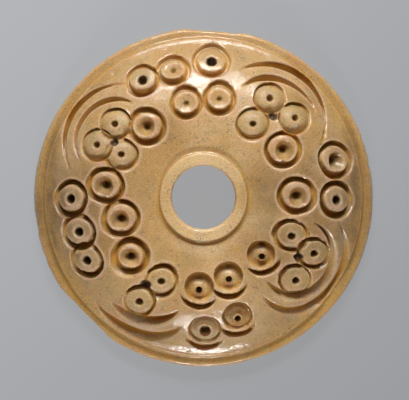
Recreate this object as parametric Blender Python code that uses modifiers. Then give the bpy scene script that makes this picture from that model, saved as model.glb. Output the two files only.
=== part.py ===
"""A stone spindle whorl, turned and drilled. Metres, +Z up.

It lies on its flat underside at z = 0, with the bore for the spindle on the Z axis. A step and a flared foot
rise from the narrow flange to the dome and its crown, and a shallow moat lies between the crown and the raised
collar round the bore.
Ring drills with their centre bits are sunk into it, leaning part of the way to the dome's own slope, so their
grooves are deeper on the uphill side. Crescent grooves run round the corners between them.
"""

import math

import bmesh
import bpy
from mathutils import Matrix, Vector

# The turned body
DISC_RADIUS = 0.0225
BORE_RADIUS = 0.0042
BORE_CHAMFER = 0.00025
COLLAR_WIDTH = 0.0015
COLLAR_HEIGHT = 0.0006
COLLAR_ROUND = 0.0003
COLLAR_WALL_RUN = 0.0005
MOAT_WIDTH = 0.0020
MOAT_DEPTH = 0.0003
CROWN_WIDTH = 0.0021
DOME_EDGE_TILT = math.radians(50)
FOOT_FLARE_WIDTH = 0.00125
FOOT_FLARE_TILT = math.radians(32)
FOOT_STEP = 0.00045
FLANGE_WIDTH = 0.0014
FLANGE_FALL = 0.00012
FLANGE_THICKNESS = 0.0019
EDGE_ROUND = 0.0004
UNDERSIDE_ROUND = 0.0003
TURNED_SIDES = 56
DOME_ARC_STEPS = 6
MOAT_STEPS = 3

# The drills, as shares of the disc's radius, measured from the surface at the drill's axis
RING_OUTER = 0.112
RING_BOSS = 0.080
RING_DEPTH = 0.042
DISC_RING_OUTER = 0.099
DISC_RING_BOSS = 0.083
DISC_RING_DEPTH = 0.032
FUNNEL_MOUTH = 0.060
FUNNEL_DEPTH = 0.058
DOT_MOUTH = 0.030
DOT_DEPTH = 0.055
DRILL_CLEARANCE = 0.045
DRILL_SIDES = 14
# How far a drill leans outward, as a share of the dome's tilt where it is sunk
DRILL_LEAN = 0.68

# Carving: each circle's share of the radius from the centre, its degrees from +X, and its size
FUNNEL_CIRCLES = (
    (0.771, 103.5, 0.97),
    (0.564, 100.4, 0.86),
    (0.586, 80.9, 0.92),
    (0.531, 128.4, 1.00),
    (0.544, 31.0, 1.00),
    (0.810, 15.8, 1.02),
    (0.549, 0.8, 1.06),
    (0.501, 313.9, 1.00),
    (0.520, 286.6, 0.96),
    (0.751, 285.7, 0.98),
    (0.553, 267.1, 0.97),
    (0.551, 219.2, 1.02),
    (0.500, 194.5, 1.03),
    (0.582, 173.0, 1.00),
)
DOT_CIRCLES = (
    (0.811, 86.6, 1.06),
    (0.779, 117.6, 0.95),
    (0.787, 358.8, 1.03),
    (0.785, 270.7, 0.98),
    (0.785, 208.5, 0.94),
    (0.765, 195.5, 1.01),
    (0.785, 180.7, 1.04),
)
TRIAD_DISCS = (
    (0.704, 56.1, 1.00),
    (0.715, 40.8, 1.01),
    (0.520, 56.0, 1.00),
    (0.678, 140.5, 1.00),
    (0.702, 153.9, 1.04),
    (0.545, 152.5, 1.00),
    (0.553, 243.4, 0.95),
    (0.724, 238.4, 0.95),
    (0.567, 336.2, 0.97),
    (0.735, 333.0, 0.96),
    (0.736, 318.0, 1.00),
)

# The deep pits between the discs of each corner: share of the radius, degrees, mouth radius as a share
CORNER_PITS = (
    (0.623, 148.0, 0.024),
    (0.635, 49.8, 0.024),
    (0.668, 327.6, 0.026),
    (0.618, 236.6, 0.027),
)
CORNER_PIT_DEPTH = 0.060
CORNER_PIT_SIDES = 8

# The crescents: share and degrees of the oval's centre, its radii along and across that direction as shares,
# the degrees round it where the groove starts and ends, and the groove's half width as a share
CRESCENTS = (
    (0.611, 49.8, 0.305, 0.338, -80, 71, 0.017),
    (0.622, 46.8, 0.228, 0.275, -35, 87, 0.016),
    (0.590, 146.0, 0.325, 0.345, -60, 63, 0.014),
    (0.640, 147.0, 0.210, 0.236, -88, 66, 0.014),
    (0.587, 234.8, 0.242, 0.271, -19, 79, 0.023),
    (0.689, 234.5, 0.212, 0.333, -30, 87, 0.020),
    (0.663, 327.0, 0.202, 0.230, -115, 101, 0.021),
    (0.691, 327.0, 0.236, 0.316, -110, 77, 0.018),
)
CRESCENT_STEPS = 11
CRESCENT_TIP = 0.15

# The edge's worn flats: degrees, depth as a share of the radius, and the lean of the flat
EDGE_FLATS = (
    (86.0, 0.0165, math.radians(6)),
    (225.0, 0.0220, math.radians(-5)),
)

STONE_COLOUR = (0.50, 0.29, 0.13, 1)
STONE_ROUGHNESS = 0.38

# Worked out from the sizes above
COLLAR_RADIUS = BORE_RADIUS + COLLAR_WIDTH
MOAT_START = COLLAR_RADIUS + COLLAR_WALL_RUN
CROWN_EDGE = MOAT_START + MOAT_WIDTH + CROWN_WIDTH
FOOT_RADIUS = DISC_RADIUS - FLANGE_WIDTH
DOME_EDGE = FOOT_RADIUS - FOOT_FLARE_WIDTH
DOME_ARC_RADIUS = (DOME_EDGE - CROWN_EDGE) / math.sin(DOME_EDGE_TILT)
DOME_RISE = DOME_ARC_RADIUS * (1 - math.cos(DOME_EDGE_TILT))
FOOT_HEIGHT = FLANGE_THICKNESS + FOOT_STEP
DOME_EDGE_HEIGHT = FOOT_HEIGHT + FOOT_FLARE_WIDTH * math.tan(FOOT_FLARE_TILT)
CROWN_HEIGHT = DOME_EDGE_HEIGHT + DOME_RISE
MOAT_FLOOR = CROWN_HEIGHT - MOAT_DEPTH
COLLAR_TOP = MOAT_FLOOR + COLLAR_HEIGHT


def clear_scene():
    for old in list(bpy.data.objects):
        bpy.data.objects.remove(old, do_unlink=True)


def new_collection(name):
    collection = bpy.data.collections.new(name)
    bpy.context.scene.collection.children.link(collection)
    return collection


def stone_material():
    material = bpy.data.materials.new("stone")
    material.use_nodes = True
    shader = material.node_tree.nodes["Principled BSDF"]
    shader.inputs["Base Color"].default_value = STONE_COLOUR
    shader.inputs["Roughness"].default_value = STONE_ROUGHNESS
    shader.inputs["Metallic"].default_value = 0.0
    return material


def dome_height(radius):
    """The height of the bare crown, dome or flare at a distance from the axis."""
    flare_run = max(0.0, radius - DOME_EDGE)
    run = max(0.0, min(radius, DOME_EDGE) - CROWN_EDGE)
    fall = DOME_ARC_RADIUS - math.sqrt(DOME_ARC_RADIUS**2 - run**2)
    return CROWN_HEIGHT - fall - flare_run * math.tan(FOOT_FLARE_TILT)


def dome_tilt(radius):
    """How far the dome's surface leans outward there, in radians."""
    run = max(0.0, min(radius, DOME_EDGE) - CROWN_EDGE)
    return math.asin(run / DOME_ARC_RADIUS)


def arc(centre_x, centre_z, radius, start, end, steps):
    """Points of an arc in the XZ plane, angles in degrees from +X towards +Z."""
    points = []
    for i in range(steps + 1):
        angle = math.radians(start + (end - start) * i / steps)
        points.append((centre_x + radius * math.cos(angle), centre_z + radius * math.sin(angle)))
    return points


def body_profile():
    """The turned outline, from the top of the bore over the dome, down the edge and back below."""
    points = [
        (BORE_RADIUS, COLLAR_TOP - BORE_CHAMFER),
        (BORE_RADIUS + BORE_CHAMFER, COLLAR_TOP),
    ]
    points += arc(COLLAR_RADIUS - COLLAR_ROUND, COLLAR_TOP - COLLAR_ROUND, COLLAR_ROUND, 90, 45, 2)
    for i in range(MOAT_STEPS + 1):
        across = i / MOAT_STEPS
        rise = MOAT_DEPTH * (1 - math.cos(math.pi * across)) / 2
        points.append((MOAT_START + MOAT_WIDTH * across, MOAT_FLOOR + rise))
    for i in range(DOME_ARC_STEPS + 1):
        tilt = DOME_EDGE_TILT * i / DOME_ARC_STEPS
        radius = CROWN_EDGE + DOME_ARC_RADIUS * math.sin(tilt)
        points.append((radius, dome_height(radius)))
    points.append((FOOT_RADIUS, FOOT_HEIGHT))
    points.append((FOOT_RADIUS + FOOT_STEP / 4, FLANGE_THICKNESS))
    edge_top = FLANGE_THICKNESS - FLANGE_FALL
    points += arc(DISC_RADIUS - EDGE_ROUND, edge_top - EDGE_ROUND, EDGE_ROUND, 90, 0, 2)
    points += arc(DISC_RADIUS - UNDERSIDE_ROUND, UNDERSIDE_ROUND, UNDERSIDE_ROUND, 0, -90, 2)
    points += [
        (BORE_RADIUS + BORE_CHAMFER, 0.0),
        (BORE_RADIUS, BORE_CHAMFER),
    ]
    return points


def turned(name, outlines, sides, collection):
    """A mesh object that turns closed outlines, or ones that end on the axis, about its own Z axis."""
    mesh = bpy.data.meshes.new(name)
    shape = bmesh.new()
    for outline in outlines:
        verts = [shape.verts.new((x, 0.0, z)) for x, z in outline]
        for here, after in zip(verts, verts[1:]):
            shape.edges.new((here, after))
        if outline[0][0] > 0.0:
            shape.edges.new((verts[-1], verts[0]))
    shape.to_mesh(mesh)
    shape.free()
    obj = bpy.data.objects.new(name, mesh)
    collection.objects.link(obj)
    add_screw(obj, sides)
    return obj


def add_screw(obj, sides):
    screw = obj.modifiers.new("turn", "SCREW")
    screw.axis = "Z"
    screw.angle = math.tau
    screw.steps = sides
    screw.render_steps = sides
    screw.use_merge_vertices = True
    screw.merge_threshold = 1e-6
    screw.use_smooth_shade = True


def drill_profiles(outer, boss, depth, mouth, pit_depth):
    """A ring drill's section and its centre bit's, in metres, with the surface at z = 0."""
    clear = DRILL_CLEARANCE * DISC_RADIUS
    deepest = boss + 0.4 * (outer - boss)
    ring = [(outer, clear), (outer, 0.0), (deepest, -depth), (boss, 0.0), (boss, clear)]
    centre = [(0.0, clear), (mouth, clear), (mouth, 0.0), (0.0, -pit_depth)]
    return ring, centre


def drill_sizes(*shares):
    return [share * DISC_RADIUS for share in shares]


def hide_cutter(obj):
    obj.hide_render = True
    obj.display_type = "WIRE"


def on_dome(share, degrees):
    """The point of the dome's surface there, with the turn of a drill that leans outward with the dome."""
    radius = share * DISC_RADIUS
    bearing = math.radians(degrees)
    place = Vector((radius * math.cos(bearing), radius * math.sin(bearing), dome_height(radius)))
    lean = DRILL_LEAN * dome_tilt(radius)
    turn = Matrix.Rotation(bearing, 4, "Z") @ Matrix.Rotation(lean, 4, "Y")
    return Matrix.Translation(place) @ turn


def add_circles(name, sizes, circles, collection):
    """One drill, sunk into the dome at every place in the list."""
    outlines = drill_profiles(*drill_sizes(*sizes))
    first = turned(name, outlines, DRILL_SIDES, collection)
    for number, (share, degrees, size) in enumerate(circles):
        cutter = first
        if number:
            cutter = bpy.data.objects.new(f"{name}_{number}", first.data)
            collection.objects.link(cutter)
            add_screw(cutter, DRILL_SIDES)
        cutter.matrix_world = on_dome(share, degrees) @ Matrix.Scale(size, 4)
        hide_cutter(cutter)


def add_corner_pits(collection):
    """The pointed pits that meet in the middle of each corner's discs."""
    for number, (share, degrees, mouth) in enumerate(CORNER_PITS):
        clear, depth, top = drill_sizes(DRILL_CLEARANCE, CORNER_PIT_DEPTH, mouth)
        mesh = bpy.data.meshes.new(f"corner_pit_{number}")
        shape = bmesh.new()
        bmesh.ops.create_cone(
            shape,
            cap_ends=True,
            segments=CORNER_PIT_SIDES,
            radius1=top / 5,
            radius2=top,
            depth=clear + depth,
        )
        bmesh.ops.translate(shape, verts=shape.verts, vec=(0, 0, (clear - depth) / 2))
        shape.to_mesh(mesh)
        shape.free()
        cutter = bpy.data.objects.new(mesh.name, mesh)
        cutter.matrix_world = on_dome(share, degrees)
        collection.objects.link(cutter)
        hide_cutter(cutter)


def crescent_points(share, degrees, along, across, start, end, half_width):
    """Points on the dome along a crescent's middle, each with the groove's half width there."""
    bearing = math.radians(degrees)
    out = Vector((math.cos(bearing), math.sin(bearing)))
    side = Vector((-out.y, out.x))
    points = []
    for i in range(CRESCENT_STEPS + 1):
        t = i / CRESCENT_STEPS
        angle = math.radians(start + (end - start) * t)
        place = (share + along * math.cos(angle)) * out + across * math.sin(angle) * side
        place *= DISC_RADIUS
        width = half_width * DISC_RADIUS * max(CRESCENT_TIP, math.sin(math.pi * t) ** 0.6)
        points.append(((place.x, place.y, dome_height(place.length)), width))
    return points


def add_crescents(collection):
    """Grooves with a V section that swell from a fine tip to the middle of the crescent."""
    for number, crescent in enumerate(CRESCENTS):
        points = crescent_points(*crescent)
        curve = bpy.data.curves.new(f"crescent_{number}", "CURVE")
        curve.dimensions = "3D"
        curve.bevel_depth = 1.0
        curve.bevel_resolution = 0
        curve.use_fill_caps = True
        spline = curve.splines.new("POLY")
        spline.points.add(len(points) - 1)
        for point, (place, width) in zip(spline.points, points):
            point.co = (*place, 1.0)
            point.radius = width
        guide = bpy.data.objects.new(curve.name, curve)
        collection.objects.link(guide)
        cutter = curve_to_mesh(guide, collection)
        hide_cutter(cutter)


def curve_to_mesh(guide, collection):
    """A closed mesh of a curve object, which it replaces."""
    graph = bpy.context.evaluated_depsgraph_get()
    mesh = bpy.data.meshes.new_from_object(guide.evaluated_get(graph))
    shape = bmesh.new()
    shape.from_mesh(mesh)
    bmesh.ops.remove_doubles(shape, verts=shape.verts, dist=1e-7)
    bmesh.ops.recalc_face_normals(shape, faces=shape.faces)
    shape.to_mesh(mesh)
    shape.free()
    obj = bpy.data.objects.new(guide.name + "_cutter", mesh)
    obj.matrix_world = guide.matrix_world
    collection.objects.link(obj)
    bpy.data.objects.remove(guide, do_unlink=True)
    return obj


def add_edge_flats(collection):
    """Blocks that take the worn flats off the edge."""
    block = 2 * FLANGE_WIDTH
    for number, (degrees, depth, lean) in enumerate(EDGE_FLATS):
        mesh = bpy.data.meshes.new(f"edge_flat_{number}")
        shape = bmesh.new()
        bmesh.ops.create_cube(shape, size=1.0)
        bmesh.ops.scale(shape, verts=shape.verts, vec=(block, DISC_RADIUS, 4 * FLANGE_THICKNESS))
        bmesh.ops.translate(shape, verts=shape.verts, vec=(block / 2, 0, 0))
        shape.to_mesh(mesh)
        shape.free()
        cutter = bpy.data.objects.new(mesh.name, mesh)
        bearing = Matrix.Rotation(math.radians(degrees), 4, "Z")
        place = Matrix.Translation((DISC_RADIUS * (1 - depth), 0, FLANGE_THICKNESS / 2))
        cutter.matrix_world = bearing @ place @ Matrix.Rotation(lean, 4, "Y")
        collection.objects.link(cutter)
        hide_cutter(cutter)


def add_whorl(parts, cutters):
    """The turned body with everything in the cutters' collection taken from it."""
    whorl = turned("whorl", [body_profile()], TURNED_SIDES, parts)
    whorl.data.materials.append(stone_material())
    carve = whorl.modifiers.new("carve", "BOOLEAN")
    carve.operation = "DIFFERENCE"
    carve.solver = "EXACT"
    carve.operand_type = "COLLECTION"
    carve.collection = cutters
    return whorl


def main():
    clear_scene()
    parts = new_collection("spindle_whorl")
    cutters = new_collection("cutters")
    funnel = (RING_OUTER, RING_BOSS, RING_DEPTH, FUNNEL_MOUTH, FUNNEL_DEPTH)
    dot = (RING_OUTER, RING_BOSS, RING_DEPTH, DOT_MOUTH, DOT_DEPTH)
    disc = (DISC_RING_OUTER, DISC_RING_BOSS, DISC_RING_DEPTH, DOT_MOUTH, DOT_DEPTH)
    add_circles("funnel_drill", funnel, FUNNEL_CIRCLES, cutters)
    add_circles("dot_drill", dot, DOT_CIRCLES, cutters)
    add_circles("disc_drill", disc, TRIAD_DISCS, cutters)
    add_corner_pits(cutters)
    add_crescents(cutters)
    add_edge_flats(cutters)
    add_whorl(parts, cutters)


main()
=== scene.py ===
"""The looks of a carved stone spindle whorl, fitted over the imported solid. Metres, +Z up.

One fine mesh stands for the solid. Its upper side is the turned body's own profile, covered with points
that follow every ring, pit and crescent, and each tool then pushes its points down.
"""

import itertools
import math

import bpy
import numpy as np
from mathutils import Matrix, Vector
from mathutils.geometry import delaunay_2d_cdt


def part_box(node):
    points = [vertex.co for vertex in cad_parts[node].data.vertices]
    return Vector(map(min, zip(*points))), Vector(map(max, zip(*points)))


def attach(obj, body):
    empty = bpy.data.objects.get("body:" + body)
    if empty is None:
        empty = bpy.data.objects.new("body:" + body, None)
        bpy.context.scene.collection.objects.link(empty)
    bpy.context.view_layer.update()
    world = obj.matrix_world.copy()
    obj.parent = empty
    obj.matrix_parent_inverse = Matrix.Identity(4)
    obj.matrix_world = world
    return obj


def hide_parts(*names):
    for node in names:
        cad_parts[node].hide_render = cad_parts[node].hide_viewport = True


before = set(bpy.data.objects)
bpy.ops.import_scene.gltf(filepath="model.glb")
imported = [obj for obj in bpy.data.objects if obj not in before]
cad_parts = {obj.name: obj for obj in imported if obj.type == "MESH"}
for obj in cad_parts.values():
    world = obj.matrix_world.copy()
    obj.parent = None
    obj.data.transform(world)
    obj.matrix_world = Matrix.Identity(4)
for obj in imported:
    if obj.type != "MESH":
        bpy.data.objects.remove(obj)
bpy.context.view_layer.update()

# The turned body, as in the solid
DISC_RADIUS = (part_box("whorl")[1].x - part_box("whorl")[0].x) / 2
BORE_RADIUS = 0.0042
BORE_CHAMFER = 0.00025
COLLAR_WIDTH = 0.0016
COLLAR_HEIGHT = 0.0006
COLLAR_ROUND = 0.00014
COLLAR_WALL_RUN = 0.00014
MOAT_WIDTH = 0.00226
MOAT_DEPTH = 0.0003
CROWN_WIDTH = 0.0021
DOME_EDGE_TILT = math.radians(50)
FOOT_FLARE_WIDTH = 0.00125
FOOT_FLARE_TILT = math.radians(32)
FOOT_STEP = 0.00045
FLANGE_WIDTH = 0.0014
FLANGE_FALL = 0.00012
FLANGE_THICKNESS = 0.0019
EDGE_ROUND = 0.0004
UNDERSIDE_ROUND = 0.0003

COLLAR_RADIUS = BORE_RADIUS + COLLAR_WIDTH
MOAT_START = COLLAR_RADIUS + COLLAR_WALL_RUN
CROWN_EDGE = MOAT_START + MOAT_WIDTH + CROWN_WIDTH
FOOT_RADIUS = DISC_RADIUS - FLANGE_WIDTH
DOME_EDGE = FOOT_RADIUS - FOOT_FLARE_WIDTH
DOME_ARC_RADIUS = (DOME_EDGE - CROWN_EDGE) / math.sin(DOME_EDGE_TILT)
DOME_EDGE_HEIGHT = FLANGE_THICKNESS + FOOT_STEP + FOOT_FLARE_WIDTH * math.tan(FOOT_FLARE_TILT)
CROWN_HEIGHT = DOME_EDGE_HEIGHT + DOME_ARC_RADIUS * (1 - math.cos(DOME_EDGE_TILT))
MOAT_FLOOR = CROWN_HEIGHT - MOAT_DEPTH
COLLAR_TOP = MOAT_FLOOR + COLLAR_HEIGHT

# Circles: share of the radius from the centre, degrees from +X, groove radius, boss radius, how far the
# drill leans with the dome, and kind. The kinds lidded and cup have their size and the direction of their lid
# in place of the two radii
CIRCLES = (
    (0.811, 86.6, 0.120, 0.079, 0.65, "bright"),
    (0.771, 103.5, 0.108, 0.070, 0.80, "dish"),
    (0.779, 117.6, 0.104, 0.076, 0.45, "dot"),
    (0.564, 100.4, 0.100, 0.069, 0.80, "dish"),
    (0.586, 80.9, 0.103, 0.069, 0.80, "dish"),
    (0.531, 128.4, 0.112, 0.082, 0.60, "funnel"),
    (0.704, 56.1, 0.099, 0.083, 0.80, "button"),
    (0.715, 40.8, 0.099, 0.084, 0.80, "button"),
    (0.520, 56.0, 0.099, 0.083, 0.80, "button"),
    (0.544, 31.0, 0.110, 0.085, 0.60, "funnel"),
    (0.810, 15.8, 0.118, 0.088, 0.75, "funnel"),
    (0.549, 0.8, 0.115, 0.083, 0.60, "funnel"),
    (0.787, 358.8, 0.116, 0.082, 0.75, "dot"),
    (0.567, 336.2, 0.103, 0.079, 0.60, "disc"),
    (0.735, 333.0, 0.103, 0.078, 0.60, "disc"),
    (0.736, 318.0, 0.103, 0.082, 0.60, "disc"),
    (0.487, 314.6, 0.98, 290.0, 0.00, "lidded"),
    (0.502, 287.2, 1.03, 276.0, 0.00, "lidded"),
    (0.746, 285.8, 1.06, 276.0, 0.50, "lidded"),
    (0.542, 267.1, 1.03, 264.0, 0.00, "lidded"),
    (0.797, 270.7, 1.12, 266.0, 0.55, "cup"),
    (0.553, 243.4, 0.101, 0.075, 0.50, "disc"),
    (0.724, 238.4, 0.100, 0.077, 0.50, "disc"),
    (0.551, 219.2, 0.115, 0.074, 0.50, "funnel"),
    (0.785, 208.5, 0.109, 0.084, 0.70, "dot"),
    (0.765, 195.5, 0.111, 0.084, 0.70, "dot"),
    (0.785, 180.7, 0.115, 0.083, 0.70, "dot"),
    (0.500, 194.5, 0.112, 0.084, 0.60, "funnel"),
    (0.582, 173.0, 0.112, 0.083, 0.60, "funnel"),
    (0.678, 140.5, 0.099, 0.085, 0.70, "button"),
    (0.702, 153.9, 0.101, 0.088, 0.70, "button"),
    (0.545, 152.5, 0.099, 0.085, 0.70, "button"),
)
# Each kind's face: mouth radius, how far the mouth is drawn outward and down the picture, depth at its foot,
# pit radius, pit depth, how far the face's rim drops and how deep the face lies, all as shares, then how dark
# its pit is painted, a painted shade for the deep hole, and how glossy the face. For lidded and cup, the
# third value is how deep the top of their cone lies, and the mouth only places points
FACES = {
    "funnel": (0.062, 0.016, 0.056, 0.018, 0.090, 0.010, 0.0, 0.40, 1.0),
    "dish": (0.060, 0.0, 0.016, 0.016, 0.040, 0.002, 0.0, 0.35, 1.0),
    "dot": (0.040, 0.006, 0.006, 0.029, 0.080, 0.008, 0.0, 0.70, 0.5),
    "bright": (0.036, 0.0, 0.004, 0.030, 0.070, 0.004, 0.020, 0.90, 1.0),
    "button": (0.026, 0.002, 0.003, 0.020, 0.050, 0.026, 0.0, 0.35, 0.2),
    "disc": (0.030, 0.002, 0.003, 0.023, 0.056, 0.002, 0.004, 0.35, 0.2),
    "lidded": (0.030, 0.0, 0.004, 0.018, 0.060, 0.0, 0.0, 0.60, 0.3),
    "cup": (0.036, 0.0, 0.024, 0.028, 0.080, 0.0, 0.0, 0.70, 0.1),
}
# Each kind's groove on the uphill side, at its sides and on the downhill side: widths as parts of the room
# between the groove's and the boss's radius, then depths as shares
GROOVES = {
    "funnel": ((1.05, 1.00, 1.00), (0.060, 0.048, 0.050)),
    "dish": ((1.00, 0.90, 1.00), (0.044, 0.038, 0.038)),
    "dot": ((1.10, 1.00, 1.00), (0.064, 0.052, 0.050)),
    "bright": ((1.00, 1.00, 1.00), (0.056, 0.046, 0.034)),
    "button": ((1.20, 0.90, 0.90), (0.042, 0.034, 0.036)),
    "disc": ((1.40, 0.70, 1.00), (0.046, 0.032, 0.036)),
}
# The groove's depth across it, from the boss outwards, and the same on the downhill side
GROOVE_SECTION = ((0.0, 0.14, 0.30, 0.84, 1.0, 1.6), (0.0, 0.82, 1.0, 0.98, 0.0, -2.2))
DOWNHILL_SECTION = (0.0, 0.82, 1.0, 0.65, 0.0, -0.5)
# The bosses are wider than tall in the picture, and stand a little above the middle of their grooves
BOSS_WIDER = 0.06
BOSS_UP = 0.006
# A lidded circle or cup of size 1, in shares: the radii that place its points, the centre and radius of its
# hollow and its lid, the centre, radius and depth of the cut below the lid, and the hollow's depth. Centres
# are measured towards the lid. The cone falls to the hollow's floor at these distances from the pit's edge,
# by these parts of the way
LIDDED_RING = (0.105, 0.070)
LIDDED_HOLLOW = (-0.014, 0.084)
LIDDED_LID = (-0.053, 0.134)
LIDDED_CUT = (0.014, 0.108, 0.056)
LIDDED_DEPTH = 0.038
LIDDED_CONE = ((0.006, 0.020, 0.038), (0.40, 0.75, 1.00))
# Pits between the corner discs: share, degrees, mouth radius share
CORNER_PITS = (
    (0.623, 148.0, 0.031),
    (0.635, 49.8, 0.031),
    (0.668, 327.6, 0.031),
    (0.620, 236.4, 0.035),
)
# How dark the corner pits are painted, a painted shade for the deep holes
CORNER_PIT_DARKNESS = 0.9
# Crescents: oval's centre (share, degrees), radii along and across, degrees at the start and end, half
# width, depth, where along it is widest, and which wall is steep (-1 the inner one, 1 the outer one)
CRESCENTS = (
    (0.611, 49.8, 0.305, 0.338, -80, 71, 0.017, 0.050, 0.7, 1),
    (0.622, 46.8, 0.228, 0.275, -35, 87, 0.018, 0.052, 0.65, 1),
    (0.590, 146.0, 0.325, 0.345, -60, 63, 0.014, 0.038, 0.5, 1),
    (0.640, 147.0, 0.210, 0.236, -88, 66, 0.016, 0.042, 0.4, 1),
    (0.587, 234.8, 0.242, 0.271, -19, 79, 0.032, 0.060, 0.45, -1),
    (0.689, 234.5, 0.212, 0.333, -30, 87, 0.030, 0.052, 0.55, -1),
    (0.663, 327.0, 0.202, 0.230, -115, 101, 0.030, 0.056, 0.4, -1),
    (0.691, 327.0, 0.236, 0.316, -110, 77, 0.024, 0.042, 0.4, -1),
)
# A crescent's depth across it, from its steep wall to its gentle one
CRESCENT_SECTION = ((-1.15, -1.0, -0.65, 0.0, 1.0, 1.3), (0.0, 0.15, 1.0, 0.9, 0.08, 0.0))
# Worn flats on the edge: degrees and depth as a share
EDGE_FLATS = ((86.0, 0.0165), (225.0, 0.0220))
# Brown places, partly real stains and partly painted shade on the darker sides: across and up from the
# centre, reach and strength, as shares
STAINS_AND_SHADE = (
    (0.40, 0.02, 0.18, 0.65),
    (0.62, 0.12, 0.14, 0.45),
    (-0.72, -0.30, 0.18, 0.55),
    (0.44, -0.30, 0.24, 0.60),
    (-0.22, 0.38, 0.12, 0.25),
    (0.60, 0.55, 0.10, 0.30),
    (-0.90, -0.06, 0.26, 0.95),
    (0.90, -0.02, 0.20, 0.75),
    (-0.40, 0.00, 0.14, 0.25),
    (0.78, -0.42, 0.16, 0.45),
    (-0.62, 0.34, 0.10, 0.25),
)

# How far to each side the corner above the flare is worn round, and in how many steps that is averaged
FLARE_WEAR = 0.00035
FLARE_WEAR_STEPS = 9
# Wear of the whole upper side: what it takes off everywhere, then height, lump size and seed of each noise
WEAR_LEAST = 0.00006
WEAR_NOISES = ((0.000028, 0.0021, 3), (0.000018, 0.0009, 5), (0.000010, 0.00035, 8))
# The dents: depth, size, seed and the level of the noise where they start
DENTS = (0.00016, 0.0007, 12, 0.55)
# The edge's slow wander, and its nicks, in the same order
EDGE_WANDER = (0.00003, 0.003, 21)
EDGE_NICKS = (0.00030, 0.0011, 22, 0.55)
# Carving this deep takes the full painted shade
FULL_SHADE_DEPTH = 0.00015
# Painted shade, where the shadows fall, across a ring groove, 0 at the boss and 1 at the wall, and across a
# crescent, 1 at its steep wall:
# where it is strongest, how far it reaches and how full it is
WALL_PAINTED_SHADE = (0.90, 0.45, 1.4)
BOSS_PAINTED_SHADE = (0.20, 0.55, 1.2)
CRESCENT_PAINTED_SHADE = (0.75, 0.6, 1.3)
# Painted shade in a lidded circle, where its shadows fall, shares and then how much: inside the hollow's
# edge, past the lid's, from the axis
HOLLOW_PAINTED_SHADE = ((-0.005, 0.001, 0.026, 0.046), (0, 1.15, 1, 0))
LID_PAINTED_SHADE = ((-0.002, 0.003, 0.040), (0, 0.8, 0))
FAN_PAINTED_SHADE = ((0.018, 0.034, 0.052), (0.9, 0.6, 0))
# How unsteadily the drills were held, and how far out of round they cut, in slow waves and in quick ones
DRILL_SWAY = 0.02
OUT_OF_ROUND = (0.014, 0.008)
# How strongly the mouths are drawn down the picture, where outward is 1
MOUTHS_DOWN = 0.9

# The mesh: the gap between points in the carving, on open stone and on the underside, and the least gaps
CARVED_SPACING = 0.0068 * DISC_RADIUS
OPEN_SPACING = 0.0094 * DISC_RADIUS
UNDERSIDE_SPACING = 0.03 * DISC_RADIUS
CARVED_LEAST_GAP = 0.55 * CARVED_SPACING
OPEN_LEAST_GAP = 0.78 * OPEN_SPACING
# How far apart a lattice of equal triangles has its rows, as a part of their side
TRIANGLE_ROW = 0.866
RIM_SEGMENTS = 540
BORE_SEGMENTS = 160
# How far the corner between stone and cut is rounded, as a share
EDGE_SOFTNESS = 0.0026
# By how much a cut follows the dome and not the drill's own plane
FOLLOW = 0.5
# The share from its axis beyond which a drill cuts nothing
DRILL_REACH = 0.2
# Rounds of smoothing that find the hollows, and the depth that counts as one
HOLLOW_ROUNDS = 10
HOLLOW_UNIT = 0.0001

RANDOM = np.random.default_rng(7)


def lattice_noise(points, size, seed):
    """Smooth noise from -1 to 1 with lumps of the given size, one value for each point."""
    scaled = points / size
    cell = np.floor(scaled).astype(np.int64)
    part = scaled - cell
    part = part * part * (3 - 2 * part)
    total = np.zeros(len(points))
    for corner in itertools.product((0, 1), repeat=3):
        x, y, z = (cell + corner).T
        mixed = (x * 73856093) ^ (y * 19349663) ^ (z * 83492791) ^ (seed * 2654435761)
        mixed = ((mixed ^ (mixed >> 13)) * 1274126177) & 0x7FFFFFFF
        weight = np.prod(np.where(corner, part, 1 - part), axis=1)
        total += weight * (mixed / 0x3FFFFFFF - 1)
    return total


def band(values, middle, reach, fullness):
    """1 near the middle value, fading to 0 a little beyond the reach."""
    return np.clip(fullness - np.abs(values - middle) / reach, 0, 1)


def off_axis(points):
    return np.hypot(points[..., 0], points[..., 1])


def arc(centre_x, centre_z, radius, start, end, steps):
    angles = np.radians(np.linspace(start, end, steps + 1))
    return [(centre_x + radius * math.cos(a), centre_z + radius * math.sin(a)) for a in angles]


def bare_height(radius):
    """The height of the crown, the dome and its flare, with the corner between the last two worn round."""
    height = 0.0
    for offset in np.linspace(-FLARE_WEAR, FLARE_WEAR, FLARE_WEAR_STEPS):
        place = np.minimum(radius + offset, 2 * FOOT_RADIUS - radius - offset)
        run = np.clip(place, CROWN_EDGE, DOME_EDGE) - CROWN_EDGE
        fall = DOME_ARC_RADIUS - np.sqrt(DOME_ARC_RADIUS**2 - run**2)
        height += CROWN_HEIGHT - fall - np.maximum(place - DOME_EDGE, 0) * math.tan(FOOT_FLARE_TILT)
    return height / FLARE_WEAR_STEPS


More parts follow.
